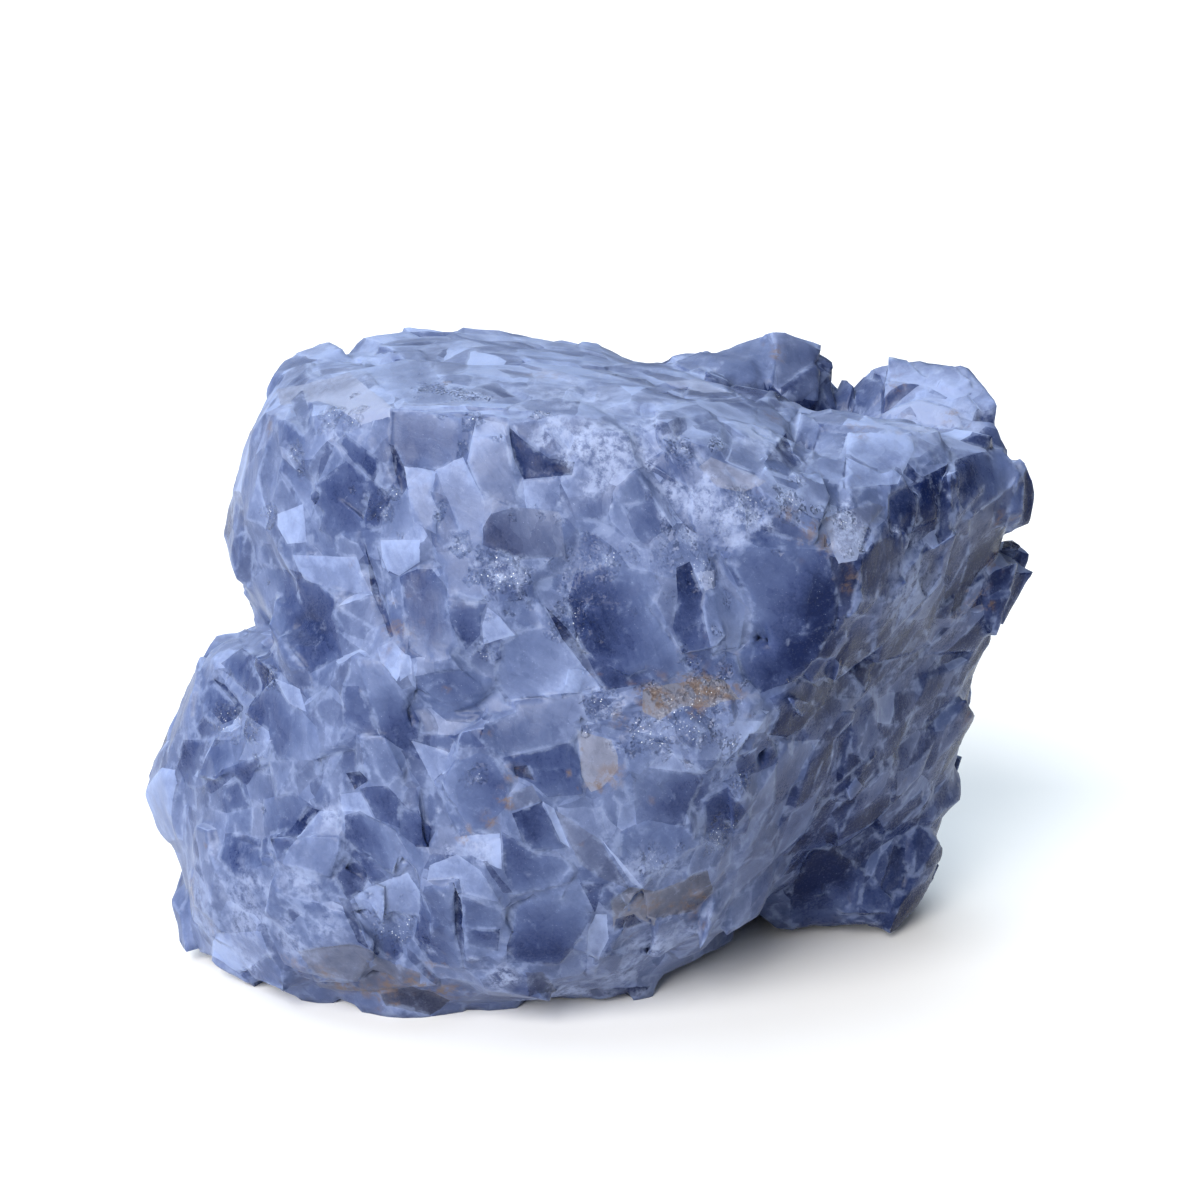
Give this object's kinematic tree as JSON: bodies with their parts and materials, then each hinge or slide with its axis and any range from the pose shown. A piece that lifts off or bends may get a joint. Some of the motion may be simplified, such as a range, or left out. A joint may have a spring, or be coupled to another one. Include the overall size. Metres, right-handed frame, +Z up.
{
  "type": "rough blue calcite",
  "caption": "Rough block of blue calcite with broken cleavage crystals all over, resting on its broken base.",
  "frame": {"origin": "on the ground, under the middle of the stone's bounding box", "axes": "+X to the right along the stone's length, +Y to the back, +Z up; the broadest fresh face looks along -Y"},
  "size_m": [0.1274, 0.0752, 0.0869],
  "materials": {
    "blue_calcite": "broken cleavage faces, waxy to glassy, milky blue with pale veins and a little tan iron stain"
  },
  "bodies": {
    "root": {"blue_calcite": "blue_calcite"}
  },
  "joints": []
}
